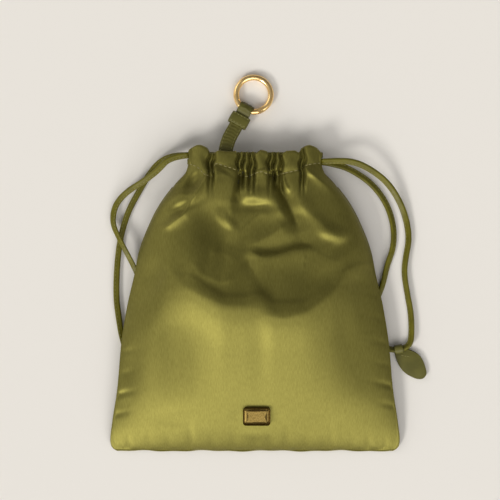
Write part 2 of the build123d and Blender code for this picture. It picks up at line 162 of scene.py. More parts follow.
# ---- camera, lights and floor --------------------------------------------
CAMERA_HEIGHT = 1.4
VIEW_WIDTH = 0.3472        # how much of the table the picture is wide
VIEW_CENTRE = (-3.5, 138.9)
SENSOR = 36.0


def add_camera():
    data = bpy.data.cameras.new("camera")
    data.sensor_width = SENSOR
    data.lens = SENSOR * CAMERA_HEIGHT / VIEW_WIDTH
    camera = new_object("camera", data)
    camera.location = place(*VIEW_CENTRE, 0) + Vector((0, 0, CAMERA_HEIGHT))
    SCENE.camera = camera


def add_sun(name, toward_light, angle, strength, color):
    """A sun lamp; its rays come from the given direction and its disc is that many degrees wide."""
    data = bpy.data.lights.new(name, "SUN")
    data.angle, data.energy, data.color = math.radians(angle), strength, color
    light = new_object(name, data)
    light.rotation_euler = Vector(toward_light).to_track_quat("Z", "Y").to_euler()


def studio_world():
    """A soft room that is bright towards the window side and dim behind."""
    world = bpy.data.worlds.new("studio")
    world.use_nodes = True
    tree = world.node_tree
    where = add_node(tree, "ShaderNodeTexCoord")
    turned = add_node(tree, "ShaderNodeMapping", [(where, "Generated", "Vector")])
    turned.inputs["Location"].default_value = (0.5, 0, 0)
    turned.inputs["Rotation"].default_value = (0, 0, math.radians(112))
    turned.inputs["Scale"].default_value = (0.5, 0.5, 0.5)
    across = add_node(tree, "ShaderNodeTexGradient", [(turned, "Vector", "Vector")])
    ramp = add_node(tree, "ShaderNodeValToRGB", [(across, "Color", "Fac")])
    ramp.color_ramp.elements[0].color = (0.105, 0.102, 0.097, 1)
    ramp.color_ramp.elements[1].color = (0.62, 0.61, 0.595, 1)
    tree.links.new(ramp.outputs["Color"], tree.nodes["Background"].inputs["Color"])
    return world


def add_surroundings():
    SCENE.world = studio_world()
    SCENE.view_settings.view_transform = "Standard"
    add_sun("key", (-0.5, -0.56, 0.53), 16, 1.66, (1.0, 0.975, 0.93))
    add_sun("soft_key", (0.26, -0.68, 0.68), 50, 1.3, (1.0, 0.98, 0.95))
    add_sun("side_fill", (-0.72, 0.5, 0.48), 40, 0.45, (1.0, 0.98, 0.95))
    clear_selection()
    bpy.ops.mesh.primitive_plane_add(size=4.0, location=(0, 0, -0.0002))
    floor = bpy.context.object
    floor.name = "floor"
    floor.data.materials.append(floor_material())


# ---- materials -----------------------------------------------------------
def new_material(name, color, roughness, metallic=0.0, **sockets):
    material = bpy.data.materials.new(name)
    material.use_nodes = True
    shader = material.node_tree.nodes["Principled BSDF"]
    shader.inputs["Base Color"].default_value = (*color, 1)
    shader.inputs["Roughness"].default_value = roughness
    shader.inputs["Metallic"].default_value = metallic
    for key, value in sockets.items():
        shader.inputs[key.replace("_", " ")].default_value = value
    return material, material.node_tree, shader


def add_node(tree, kind, links=(), **settings):
    node = tree.nodes.new(kind)
    for key, value in settings.items():
        if key in node.inputs:
            node.inputs[key].default_value = value
        else:
            setattr(node, key, value)
    for source, output, target in links:
        tree.links.new(source.outputs[output], node.inputs[target])
    return node


def object_coordinates(tree, scale, turn):
    where = add_node(tree, "ShaderNodeTexCoord")
    mapping = add_node(tree, "ShaderNodeMapping", [(where, "Object", "Vector")])
    mapping.inputs["Scale"].default_value = scale
    mapping.inputs["Rotation"].default_value = (0, 0, turn)
    return mapping


def texture(tree, kind, scale=(1, 1, 1), turn=0.0, **settings):
    """A texture that reads the piece's own coordinates, scaled and turned."""
    where = object_coordinates(tree, scale, turn)
    return add_node(tree, "ShaderNodeTex" + kind, [(where, "Vector", "Vector")], **settings)


def floor_material():
    return new_material("floor", (0.79, 0.765, 0.725), 0.9)[0]


def blend_colors(tree, shader, factor, output, low, high, low_at=0.35, high_at=0.65):
    ramp = add_node(tree, "ShaderNodeValToRGB", [(factor, output, "Fac")])
    ramp.color_ramp.elements[0].position, ramp.color_ramp.elements[1].position = low_at, high_at
    ramp.color_ramp.elements[0].color = (*low, 1)
    ramp.color_ramp.elements[1].color = (*high, 1)
    tree.links.new(ramp.outputs["Color"], shader.inputs["Base Color"])


def add_bump(tree, shader, height, output, strength, distance):
    bump = add_node(tree, "ShaderNodeBump", [(height, output, "Height")],
                    Strength=strength, Distance=distance)
    tree.links.new(bump.outputs["Normal"], shader.inputs["Normal"])


def satin_material():
    """Warp-faced satin: coloured gloss that spreads across the warp, fine lines along it, faint slubs."""
    material, tree, shader = new_material("satin", (0.2, 0.18, 0.04), 0.51, 0.84, Anisotropic=0.4,
                                          Sheen_Weight=0.05, Sheen_Roughness=0.4)
    shader.inputs["Sheen Tint"].default_value = (0.8, 0.78, 0.4, 1)
    weft = add_node(tree, "ShaderNodeTangent", direction_type="UV_MAP", uv_map="cloth")
    tree.links.new(weft.outputs["Tangent"], shader.inputs["Tangent"])
    slubs = texture(tree, "Noise", (2600, 260, 700), Scale=1.0, Detail=3.0)
    blend_colors(tree, shader, slubs, "Fac", (0.178, 0.16, 0.033), (0.222, 0.2, 0.046))
    threads = texture(tree, "Noise", (5200, 500, 900), Scale=1.0, Detail=2.0)
    add_bump(tree, shader, threads, "Fac", 0.25, 0.0001)
    return material


def leather_material(name, low, high, roughness=0.42, shine=0.3):
    material, tree, shader = new_material(name, high, roughness, 0.0, Specular_IOR_Level=shine)
    tone = texture(tree, "Noise", Scale=130.0, Detail=4.0)
    blend_colors(tree, shader, tone, "Fac", low, high, 0.3, 0.7)
    grain = texture(tree, "Voronoi", Scale=1500.0)
    add_bump(tree, shader, grain, "Distance", 0.3, 0.0002)
    return material


def thread_material(name="thread", color=(0.25, 0.22, 0.08)):
    material, tree, shader = new_material(name, color, 0.7)
    twist = texture(tree, "Wave", turn=0.8, Scale=900.0, Distortion=1.0)
    add_bump(tree, shader, twist, "Fac", 0.5, 0.0001)
    return material


def gold_material(name, low, high, roughness, grain, depth):
    material, tree, shader = new_material(name, high, roughness, 1.0)
    wear = texture(tree, "Noise", Scale=grain, Detail=5.0)
    blend_colors(tree, shader, wear, "Fac", low, high)
    add_bump(tree, shader, wear, "Fac", depth, 0.0002)
    return material


SATIN = satin_material()
LINING = new_material("lining", (0.075, 0.07, 0.02), 0.75)[0]
LEATHER = leather_material("leather", (0.092, 0.086, 0.016), (0.13, 0.121, 0.024))
STRAP_LEATHER = leather_material("strap_leather", (0.084, 0.077, 0.015), (0.118, 0.108, 0.021))
CORD_LEATHER = leather_material("cord_leather", (0.098, 0.088, 0.005), (0.145, 0.131, 0.01), 0.38, 0.24)
THREAD = thread_material()
CORD_THREAD = thread_material("cord_thread", (0.23, 0.21, 0.065))
GOLD = gold_material("gold", (1.0, 0.66, 0.27), (1.0, 0.74, 0.35), 0.24, 260.0, 0.03)
PLAQUE_GOLD = gold_material("plaque_gold", (0.12, 0.085, 0.022), (0.26, 0.18, 0.055), 0.46, 1500.0, 0.6)


# ---- the sack's shape, in millimetres from the hem -----------------------
half_width = curve_through([(0, 95.5), (1.2, 97.6), (3.5, 99.3), (7, 99.8), (18, 98.6), (44, 94.6),
                            (74, 91.9), (100, 87.8), (122, 82.8), (137.5, 79.7), (160, 71), (171, 65),
                            (184, 55.3), (194, 47.6), (200, 46), (212, 45.6)])
top_height = curve_through([(0, 2.1), (1.2, 3.8), (3, 5.6), (8, 9.0), (18, 14.0), (44, 23.4), (74, 31.8),
                            (95, 37.0), (103, 37.9), (108, 37.0), (112.5, 34.6), (118, 32.8), (126, 31.0),
                            (138, 28.4), (160, 24.6), (172, 23.4), (184, 21.6), (192, 19.8), (198, 19.0),
                            (206, 18.2), (212, 17.8)])
# how far the filling's crest lies above or below the middle of the belly, across the sack
crest_shift = curve_through([(-100, -8), (-80, -5), (-68, 3), (-58, 12), (-46, 12), (-32, 4), (-20, -2.0),
                             (-8, -2), (2, 0), (14, -6.5), (31, -6), (50, 5), (65, 18), (80, 22), (100, 18)])
seam_height = curve_through([(0, 1.7), (6, 3.7), (18, 6.2), (44, 9), (74, 9.6), (160, 9.6), (184, 10.6),
                             (196, 11.75), (212, 11.75)])
# the casing's stitch line and the mouth edge, across the gathered mouth
stitch_line = curve_through([(-48, 199), (-40, 196), (-34, 190.5), (-29.5, 189.2), (-27, 198), (-20, 196.2),
                             (-13.3, 193.7), (-10.5, 190), (-5, 189.4), (0, 191.4), (4.5, 192.4),
                             (9, 190.6), (14, 189.2), (17.5, 191), (25, 192.6), (31.2, 194.4), (34, 196.6),
                             (40, 198), (48, 199)])
mouth_edge = curve_through([(-48, 205), (-44, 209), (-38.5, 211.2), (-33, 209.2), (-30, 205.4),
                            (-27, 206.4), (-25, 207.3), (-19, 206.6), (-13.5, 206.8), (-11.3, 204.6),
                            (-9.2, 206.6), (-7.4, 204.4), (-5.4, 206.6), (-3.4, 204.6), (-1.4, 206.8),
                            (0, 205.4), (4, 207.6), (8.2, 206.6), (10, 204.4), (12, 206.4), (14.2, 204.6),
                            (16, 206.6), (18, 205.2), (22, 207), (27, 207.3), (30, 206), (32, 209),
                            (37, 211), (42, 209.4), (46, 205.5), (48, 204)])
# gathers across the mouth: how far each stands out
gathers = curve_through([(-48, 0), (-43, 0.6), (-37, 1.2), (-33.4, 0.2), (-31.4, -4.4), (-30.2, -1.0),
                         (-28.9, -4.2), (-27.2, -0.4), (-25.4, 0.5), (-19, 0.8), (-13.2, 0.3),
                         (-11.6, -4.2), (-9.8, 0.2), (-8.4, -4.8), (-6.2, 0.8), (-4.9, -2.2), (-3.6, -5.0),
                         (-1.9, 0.0), (-0.6, -3.6), (1.4, 0.4), (4.4, 1.1), (7.8, 0.4), (9.6, -4.4),
                         (11.2, -0.4), (12.5, -5.0), (15.2, 0.9), (16.4, -2.0), (17.9, -4.8), (19.8, 0.2),
                         (25, 0.9), (29.6, 0.4), (31.2, -4.4), (32.3, -1.4), (33.5, -4.2), (35.6, 0.4),
                         (39, 1.2), (44, 0.6), (48, 0)])

# each fold: its line, running down or from left to right; its reach to the right of a line that runs down, or
# above one that runs across, at start and end; the same for the other side; its height at start and end
FOLDS = [
    # the left pleat's ridge, falling off to the left seam
    ([(-26.8, 198), (-35.1, 185.4), (-41.1, 174.6), (-48.3, 163.8), (-57.9, 156.7), (-67, 152.5)],
     (10, 13), (4, 7), (3.8, 2.2)),
    # the thin raised lip along that ridge
    ([(-29, 195), (-35.6, 185.4), (-41.6, 174.6), (-48.8, 163.8), (-58.4, 156.4), (-72, 151)],
     (3.0, 3.6), (2.4, 3.0), (1.2, 3.2)),
    # the same pleat's right edge
    ([(-11.2, 196), (-15.0, 184.2), (-17.2, 173.4), (-17.0, 165), (-13.6, 156)], (1.8, 3.4), (9, 6),
     (3.4, 2.0)),
    # the valley between the left and the middle pleat
    ([(-9.6, 194), (-11.2, 184), (-12.4, 176), (-11, 168)], (3, 3), (2.5, 3), (-4.0, -1.8)),
    # the middle pleat's right edge
    ([(7.9, 196), (11.5, 180.6), (16.3, 167.4), (22.5, 157)], (2.0, 5), (8, 9), (4.0, 2.6)),
    # the valley between the middle and the right pleat
    ([(12, 194), (14.6, 184), (21.5, 173), (26.2, 162.6), (30, 150)], (5.5, 7), (3.2, 4.5), (-5.0, -3.4)),
    # the small fold inside that valley
    ([(17.4, 193), (20.4, 184), (24.0, 177.5)], (1.4, 1.6), (1.8, 2.0), (2.4, 1.4)),
    # the right pleat's long edge, running to the right seam
    ([(31.8, 197), (41.4, 189), (53.3, 180.6), (61.7, 174.6), (69, 167)], (12, 10), (2.6, 5), (3.8, 2.0)),
    # the right pleat's left edge and the broken ridge under it
    ([(21.1, 193), (25.8, 182), (30.5, 170.5), (42.0, 159.5), (56, 147.5)], (9, 6), (3.8, 6), (1.0, 1.8)),
    # two slanting ridges in the middle, and the sharp step below them
    ([(10.5, 169.6), (-0.5, 161.4), (-10, 152.5), (-18, 143.5)], (5.0, 5.4), (3.0, 3.4), (1.4, 1.3)),
    ([(23, 158), (12, 150.5), (2, 145.2), (-8, 141)], (6, 5), (5, 4), (1.3, 1.2)),
    ([(-7, 138), (4, 134.8), (16, 135.4), (26, 138.8), (35, 140.2), (43, 137)], (1.8, 2.6), (9, 10),
     (2.6, 2.4)),
    # the hollow above the step
    ([(-4, 141.5), (10, 139.2), (22, 142), (32, 144), (42, 143)], (6, 6), (3.5, 3.5), (-0.8, -2.2)),
    # the valley from the step's left end down to the filling
    ([(-6.5, 137), (-3.5, 128), (4, 115), (11, 104)], (8, 8), (4.5, 6), (-1.8, -1.2)),
    # folds beside the valley
    ([(-32, 137.5), (-19, 136), (-8, 128)], (6, 6), (7, 7), (1.3, 1.0)),
    ([(-44, 132), (-36, 122.5), (-24, 117.5), (-10, 119.5)], (6, 6), (5, 5), (1.6, 1.6)),
    # the filling's upper edge, where the cloth drops away
    ([(-66, 134), (-58, 124), (-50, 116.5), (-38, 109.5), (-22, 103), (-6, 101.5)], (6, 6), (15, 18),
     (2.0, 1.2)),
    ([(-4, 100), (6, 95.5), (20, 92.5), (36, 97.5), (52, 109.5), (64, 123), (68, 137)], (6, 6),
     (16, 16), (1.0, 1.2)),
]
# rounded puffs and hollows: centre, half sizes along and across, height, and the first size's turn from x
PUFFS = [
    (-5.5, 178.2, 7.5, 6.2, 2.2, -24), (4, 176.2, 9, 5.4, 1.7, -12), (-1.5, 168.6, 12, 3.4, -1.2, 0),
    (-19.5, 158.6, 7.5, 3.6, 2.4, -48), (-51, 175.5, 12, 5.0, 3.0, 24), (-42.8, 185.5, 7, 4.0, -3.4, 60),
    (-50, 167.4, 12, 3, -1.2, 24), (33, 169, 8, 5.5, 1.0, -60), (44, 158, 8, 4.6, 0.7, -45),
    (52, 150.6, 9, 4.6, 2.2, -12), (59, 141, 8, 4.5, -1.6, 50), (-72, 116, 14, 8, -1.6, 80),
    (-27, 156, 19, 12, -3.6, 100), (-88, 60, 14, 6, -1.8, 85), (76, 108, 24, 10, -1.6, 100),
    (-92, 33, 8, 5, -1.4, 90), (-22, 126, 12, 7, 0.8, 0), (28, 112, 16, 9, 0.8, 0),
    (-13, 25, 4, 3.4, -0.5, 0), (15, 25, 4, 3.4, -0.5, 0), (1, 12, 9, 4, 0.5, 0), (0, 33, 12, 4, -0.3, 0),
    (44, 20, 14, 6, -0.7, 0), (-52, 22, 14, 6, -0.6, 0), (-84, 62, 22, 8, -1.2, 85),
    (70, 70, 26, 10, -0.5, 105),
]
# short puckers that the hem's seam pulls in: place along the hem, reach upwards, depth
HEM_PUCKERS = [(-88, 7, 0.7), (-74, 9, 0.5), (-61, 8, 0.7), (-45, 13, 1.3), (-31, 8, 0.7), (-16, 10, 0.9),
               (-2, 7, 0.7), (9, 9, 0.9), (21, 12, 1.1), (34, 8, 0.6), (47, 9, 0.7), (52, 12, 1.0),
               (66, 8, 0.6), (78, 9, 0.7), (90, 7, 0.7)]
# puckers along both side seams: place, depth
SEAM_PUCKERS = [(28, 0.35), (42, 0.7), (56, 0.3), (71, 0.35), (88, 0.3), (104, 0.3), (121, 0.4), (140, 0.3),
                (158, 0.4)]

CASING_FOOT = 185              # folds that start above this y grow out of the casing's stitching
BOXY = (114, 172)              # over these y the section turns from an arch into a flat top with steep sides
ARCH_POWER = (2.4, 6.0)        # the section's two exponents as an arch, and what the boxy shape adds
ARCH_SOFTNESS = (0.8, -0.3)
LEAN_IN, LEAN_OUT = (30, 88), (122, 172)       # the y over which crest_shift comes in and goes out
FACE_GAP = 0.05                # each face lies this far off the seam's height
FOLDS_END = (190, 199)         # the folds die out over these y
GATHERS_RISE, GATHERS_SINK = (187, 197), (168, 193)
STITCH_GROOVE = (0.45, 0.9)    # depth and half width of the groove along the casing's stitches
CASING_SWELL = (0.4, 5.5, 4.0)     # the casing's swelling: height, distance from the stitches, half width
HEM_PUCKER_WIDTH = 1.9
BACK_REST = 0.46               # the share of the back's width that lies flat


def fold_height(x, y, line, right, left, height):
    """A ridge along a line: it falls off over the right and left reach, which change from start to end."""
    line = np.array(line, float)
    lengths = np.hypot(*np.diff(line, axis=0).T)
    total, walked = lengths.sum(), 0.0
    best = np.full(x.shape, 1e9)
    signed, along = np.zeros(x.shape), np.zeros(x.shape)
    for a, b, length in zip(line, line[1:], lengths):
        way = (b - a) / length
        px, py = x - a[0], y - a[1]
        t = px * way[0] + py * way[1]
        inside = np.clip(t, 0, length)
        dx, dy = px - inside * way[0], py - inside * way[1]
        distance = np.hypot(dx, dy)
        side = np.sign(way[0] * py - way[1] * px)
        nearer = distance < best
        best = np.where(nearer, distance, best)
        signed = np.where(nearer, distance * side, signed)
        along = np.where(nearer, (walked + inside) / total, along)
        walked += length
    ramp_right = right[0] + (right[1] - right[0]) * along
    ramp_left = left[0] + (left[1] - left[0]) * along
    reach = np.where(signed > 0, ramp_right, ramp_left)
    rise = height[0] + (height[1] - height[0]) * along
    start = 0.05 if line[0, 1] > CASING_FOOT else 0.2      # the share of the length over which it comes up
    fade = smooth(along, 0.0, start) * (1 - smooth(along, 0.72, 1.0)) * 0.85 + 0.15
    return rise * fade * np.exp(-((best / reach) ** 1.4))


def front_height(x, y):
    """Height of the front's outer face at points in millimetres."""
    half = half_width(y)
    u = np.clip(np.abs(x) / half, 0, 1)
    boxy = smooth(y, *BOXY)
    power, soft = ARCH_POWER[0] + ARCH_POWER[1] * boxy, ARCH_SOFTNESS[0] + ARCH_SOFTNESS[1] * boxy
    arch = np.clip(1 - u**power, 0, 1) ** soft
    lean = smooth(y, *LEAN_IN) * (1 - smooth(y, *LEAN_OUT))
    seam, top = seam_height(y) + FACE_GAP, top_height(y - crest_shift(x) * lean)
    z = seam + (top - seam) * arch
    detail = np.zeros(x.shape)
    for line, right, left, height in FOLDS:
        detail += fold_height(x, y, line, right, left, height)
    for cx, cy, long, wide, height, turn in PUFFS:
        c, s = math.cos(math.radians(turn)), math.sin(math.radians(turn))
        along, across = (x - cx) * c + (y - cy) * s, (y - cy) * c - (x - cx) * s
        detail += height * np.exp(-((along / long) ** 2 + (across / wide) ** 2) ** 1.2)
    detail *= 1 - smooth(y, *FOLDS_END)
    # the gathers wander a little to both sides and are slightly flatter at the mouth edge
    wander = 0.9 * np.sin(0.42 * (y - 186) + 0.31 * x) * smooth(y, 186, 200)
    gather = gathers(x + wander)
    raised = np.maximum(gather, 0) * smooth(y, *GATHERS_RISE)
    sunk = np.minimum(gather, 0) * smooth(y, *GATHERS_SINK) ** 2
    detail += (raised + sunk) * (1 - 0.2 * smooth(y, 198, 206))
    above = y - stitch_line(x)
    depth, wide = STITCH_GROOVE
    detail -= depth * np.exp(-(above / wide) ** 2)
    height, distance, wide = CASING_SWELL
    detail += height * np.exp(-((above - distance) / wide) ** 2) * smooth(y, 186, 192)
    z = z + detail * (1 - u**8)
    for at, reach, depth in HEM_PUCKERS:
        near = np.exp(-(y / reach) ** 2) * smooth(y, -1, 3)
        z -= depth * np.exp(-((x - at) / HEM_PUCKER_WIDTH) ** 2) * near
        z += 0.6 * depth * np.exp(-((x - at - 4.2) / 3.0) ** 2) * near
    for at, depth in SEAM_PUCKERS:
        for side in (-1, 1):
            inward = half - side * x
            near = np.exp(-(inward / 9.0) ** 2) * (1 - np.exp(-(inward / 1.2) ** 2))
            z -= depth * np.exp(-((y - at - side * 3 - 0.25 * inward) / 2.2) ** 2) * near
    return z


def back_height(x, y):
    """Height of the back's outer face: flat on the table in the middle, rising to the seams."""
    half = half_width(y)
    u = np.clip(np.abs(x) / half, 0, 1)
    v = np.clip((u - BACK_REST) / (1 - BACK_REST), 0, 1)
    low = FACE_GAP + 3.2 * smooth(y, 158, 196) + 1.5 * (1 - smooth(y, 0, 3.5))
    return low + (seam_height(y) - FACE_GAP - low) * v * v * (3 - 2 * v)


def hem_wave(x):
    """How far the hem's edge strays from its straight line."""
    return 0.35 * np.sin(x / 7.3) + 0.25 * np.sin(x / 3.1 + 1)


MOUTH_ROLL = 2.1           # radius of the rolled edge
MOUTH_Y = 207.0            # the grids' last row, before it follows the mouth edge
SEAM_CROWDING = 0.86       # how much closer together the columns are at the seams
ROW_CROWDING = 0.045       # how much closer together the rows are at the hem and the mouth


def body_grid(columns, rows, edge):
    """Rows of x and y over the sack; with edge they follow the mouth's and the hem's real edges."""
    u = np.sin(np.linspace(-1, 1, columns) * np.pi / 2 * SEAM_CROWDING) / math.sin(np.pi / 2 * SEAM_CROWDING)
    v = np.linspace(0, 1, rows)
    y = MOUTH_Y * (v - ROW_CROWDING * np.sin(2 * np.pi * v))
    yy = np.repeat(y[:, None], columns, axis=1)
    xx = u[None, :] * half_width(yy)
    if edge:
        yy = yy + smooth(yy, 184, MOUTH_Y) * (mouth_edge(xx) - MOUTH_ROLL - MOUTH_Y)
        yy = yy + hem_wave(xx) * (1 - smooth(yy, 0, 6))
    return xx, yy


def rolled_mouth(xx, yy, zz, steps, sign):
    """Adds rows that roll the mouth edge over by half a turn and back into the sack."""
    rows_x, rows_y, rows_z = [xx], [yy], [zz]
    x, y, z = xx[-1], yy[-1], zz[-1]
    for step in range(1, steps + 1):
        angle = math.pi * step / steps
        rows_x.append(x[None, :])
        rows_y.append((y + MOUTH_ROLL * math.sin(angle))[None, :])
        rows_z.append((z - sign * MOUTH_ROLL * (1 - math.cos(angle)))[None, :])
    for step in range(1, 4):
        rows_x.append(x[None, :] * (1 - 0.01 * step))
        rows_y.append((y + MOUTH_ROLL * math.sin(math.pi) - 3.0 * step)[None, :])
        rows_z.append((z - sign * MOUTH_ROLL * (1 - math.cos(math.pi)) - sign * 0.1 * step)[None, :])
    return np.vstack(rows_x), np.vstack(rows_y), np.vstack(rows_z)


def make_front():
    xx, yy = body_grid(196, 214, True)
    zz = front_height(xx, yy)
    xx, yy, zz = rolled_mouth(xx, yy, zz, 8, 1)
    front = grid_sheet("front_satin", xx, yy, zz)
    apply_modifier(front, "SOLIDIFY", thickness=0.5 * MM, offset=-1.0)
    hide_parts("front_panel", "front_casing")
    return dress(front, SATIN, "bag")


def make_back():
    xx, yy = body_grid(110, 110, True)
    zz = back_height(xx, yy)
    inner = 1 - np.clip(np.abs(xx) / half_width(yy), 0, 1) ** 6
    zz = zz + 0.35 * gathers(xx) * smooth(yy, 176, 196) * inner
    zz = np.maximum(zz, 0.02)
    xx, yy, zz = rolled_mouth(xx, yy, zz, 6, -1)
    back = grid_sheet("back_satin", xx, yy, zz, flip=True)
    apply_modifier(back, "SOLIDIFY", thickness=0.5 * MM, offset=-1.0)
    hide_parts("back_panel", "back_casing")
    return dress(back, SATIN, "bag")


LINING_FOOT, LINING_LENGTH = 9, 187.0      # where the linings start above the hem, and how far they run
LINING_INSET = 6.0                         # how far they end before the side seams
LINING_GAP = 0.25                          # the least distance of each from the middle between the panels


def make_lining(name, node, upper):
    """One lining sheet: it follows its panel from inside and stays clear of the other one."""
    xx, yy = body_grid(70, 80, False)
    across = xx / np.abs(xx).max(axis=1, keepdims=True)
    yy = LINING_FOOT + yy * (LINING_LENGTH / MOUTH_Y)
    xx = across * (half_width(yy) - LINING_INSET)
    front, back = front_height(xx, yy), back_height(xx, yy)
    middle = (front + back) / 2
    if upper:
        zz = np.maximum(front - 1.7, middle + LINING_GAP)
    else:
        zz = np.minimum(back + 1.5, middle - LINING_GAP)
    lining = grid_sheet(name, xx, yy, zz, not upper)
    apply_modifier(lining, "SOLIDIFY", thickness=0.3 * MM, offset=0.0)
    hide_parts(node)
    return dress(lining, LINING, "bag")


# ---- threads -------------------------------------------------------------
def thread_template():
    """One stitch: a small capsule along x, a millimetre long in each direction before scaling."""
    clear_selection()
    bpy.ops.mesh.primitive_uv_sphere_add(segments=8, ring_count=6, radius=0.5)
    ball = bpy.context.object
    points = np.array([v.co for v in ball.data.vertices])[:, [2, 0, 1]]
    points[:, 0] = np.sign(points[:, 0]) * np.abs(points[:, 0]) ** 0.7 * 0.5 ** 0.3
    faces = [list(f.vertices) for f in ball.data.polygons]
    bpy.data.objects.remove(ball)
    return points, faces


CAPSULE, CAPSULE_FACES = thread_template()
# length and thickness of one stitch
CASING_STITCH, CORD_STITCH, LEATHER_STITCH = (2.3, 0.62), (1.7, 0.42), (1.7, 0.45)


def stitches(name, places, size, material, body, node=None):
    """A row of stitches as one piece; a place is a point in metres, the thread's way and the way out."""
    points, faces = [], []
    for where, way, out in places:
        way = way.normalized()
        side = out.cross(way).normalized()
        up = way.cross(side)
        turn = np.array([way, side, up]).T
        start = len(points) * len(CAPSULE)
        local = CAPSULE * np.array([size[0], size[1], size[1]]) * MM
        points.append(local @ turn.T + np.array(where))
        faces += [[start + i for i in face] for face in CAPSULE_FACES]
    obj = piece(name, np.vstack(points).tolist(), faces)
    if node:
        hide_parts(node)
    return dress(obj, material, body)


def front_point(x, y):
    z = float(front_height(np.array([x]), np.array([y]))[0])
    return place(x, y, z)


def make_casing_stitches():
    """Stitches at an even distance along the gathered cloth, so closer together on its slopes."""
    end, probe, pitch = 44.0, 0.6, 3.3
    places, x = [], -end
    while x < end:
        here, spot, there = (front_point(at, float(stitch_line(at))) for at in (x - probe, x, x + probe))
        way = there - here
        places.append((spot + Vector((0, 0, 0.18 * MM)), way, Vector((0, 0, 1))))
        x += pitch * max(0.25, 2 * probe * MM / way.length)
    stitches("casing_stitches", places, CASING_STITCH, THREAD, "bag", "front_casing_stitch")


# ---- drawcords -----------------------------------------------------------
LOW = 2.3                  # the middle of a cord that lies on the table
TAB_CORD_Z = 3.3           # and of one that runs through a pull tab
RIGHT_ROUTE = [
    (45.4, 199.6, 13.8), (57, 200.4, 14.6), (69, 199.6, 13.6), (81, 193.8, 10.6), (92, 185.2, 7.0),
    (100.4, 172.5, 4.0), (105.4, 158.8, 2.0), (106.9, 145.8, LOW), (104.6, 134.5, LOW), (103.2, 123.5, LOW),
    (105.3, 109.5, LOW), (108.0, 96, 2.2), (108.6, 83.5, 2.9), (107.6, 71.5, TAB_CORD_Z),
    (92.6, 68.9, TAB_CORD_Z), (87.4, 76, 2.6), (81.6, 87, LOW), (82.8, 101, LOW), (88.6, 114, LOW),
    (91.4, 127.9, LOW), (96.2, 141, LOW), (96.2, 156, LOW), (91.4, 171, 2.0), (82, 183.8, 3.0),
    (70.5, 192.2, 4.4), (58.4, 197.8, 6.6), (45.4, 199.6, 9.4),
]
LEFT_ROUTE = [
    (-45.4, 204.2, 9.4), (-56, 204.6, 6.6), (-66.4, 199.8, 4.2), (-74, 190.6, 2.4), (-80.4, 179.6, LOW),
    (-87.4, 167, LOW), (-92, 153, LOW), (-94.6, 138.9, LOW), (-96, 122, LOW), (-96.2, 105, LOW),
    (-94.4, 91, LOW), (-92.4, 78.6, 2.4), (-88.6, 66.4, TAB_CORD_Z), (-75.0, 61.5, TAB_CORD_Z),
    (-70.6, 71.4, 2.6), (-71.8, 84.4, LOW), (-72.4, 98.4, LOW), (-77.4, 112, LOW), (-82.4, 124.4, 3.2),
    (-88, 136, 8.6), (-93.6, 146.6, 8.6), (-99, 157.6, 3.4), (-97.2, 170.2, 2.6), (-88.6, 179.4, 5.8),
    (-77, 186.2, 10.6), (-66.8, 193.6, 14.4), (-58.6, 203, 15.4), (-45.4, 204.2, 13.8),
]
# the folded leather strip's section: a bead at the fold and a thin stitched edge, width and thickness in mm
CORD_SECTION = [(-2.15, 0.0), (-1.95, 0.75), (-1.35, 1.25), (-0.6, 1.3), (0.1, 0.98), (0.7, 0.66), (1.4, 0.6),
                (2.0, 0.56), (2.2, 0.3), (2.2, -0.3), (2.0, -0.56), (1.4, -0.6), (0.7, -0.66), (0.1, -0.98),
                (-0.6, -1.3), (-1.35, -1.25), (-1.95, -0.75)]


def spline_points(name, route):
    """Evenly read points of the smooth line that the route's points steer."""
    curve = bpy.data.curves.new(name, "CURVE")
    curve.dimensions = "3D"
    spline = curve.splines.new("NURBS")
    spline.points.add(len(route) - 1)
    for point, at in zip(spline.points, route):
        point.co = (*place(*at), 1)
    spline.order_u = 3
    spline.use_endpoint_u = True
    spline.resolution_u = 10
    line = new_object(name, curve)
    mesh = bpy.data.meshes.new_from_object(line)
    points = [v.co.copy() for v in mesh.vertices]
    bpy.data.objects.remove(line)
    bpy.data.meshes.remove(mesh)
    return points


def cord_frames(points, twist):
    """Way, side and up at each point; the side turns about the line by twist(share of length) degrees."""
    steps = [(b - a).length for a, b in zip(points, points[1:])]
    total, walked, frames = sum(steps), 0.0, []
    for i, point in enumerate(points):
        before, after = points[max(i - 1, 0)], points[min(i + 1, len(points) - 1)]
        way = (after - before).normalized()
        side = way.cross(Vector((0, 0, 1))).normalized()
        up = side.cross(way)
        turn = Matrix.Rotation(math.radians(float(twist(walked / total))), 3, way)
        frames.append((point, way, turn @ side, turn @ up, walked))
        if i < len(steps):
            walked += steps[i]
    return frames, total


def ring_faces(count, i, j):
    """The quads between ring i and ring j, where each ring has that many points."""
    return [(i * count + k, i * count + (k + 1) % count, j * count + (k + 1) % count, j * count + k)
            for k in range(count)]


def tube_faces(rings, count):
    """The quads from ring to ring, and a cap at each end."""
    faces = [face for i in range(rings - 1) for face in ring_faces(count, i, i + 1)]
    return faces + [tuple(range(count))[::-1], tuple(range((rings - 1) * count, rings * count))]


def closed_mesh(name, points, faces):
    """A closed piece from points in metres, its faces turned outwards and its flat ends kept sharp."""
    obj = piece(name, [tuple(p) for p in points], faces, lambda face: len(face.vertices) == 4)
    select_only(obj)
    set_mode("EDIT")
    bpy.ops.mesh.select_all(action="SELECT")
    bpy.ops.mesh.normals_make_consistent(inside=False)
    set_mode("OBJECT")
    return obj


def section_tube(name, frames, section):
    """A closed tube with that section at each frame."""
    points = [point + side * (x * MM) + up * (z * MM) for point, way, side, up, walked in frames
              for x, z in section]
    return closed_mesh(name, points, tube_faces(len(frames), len(section)))


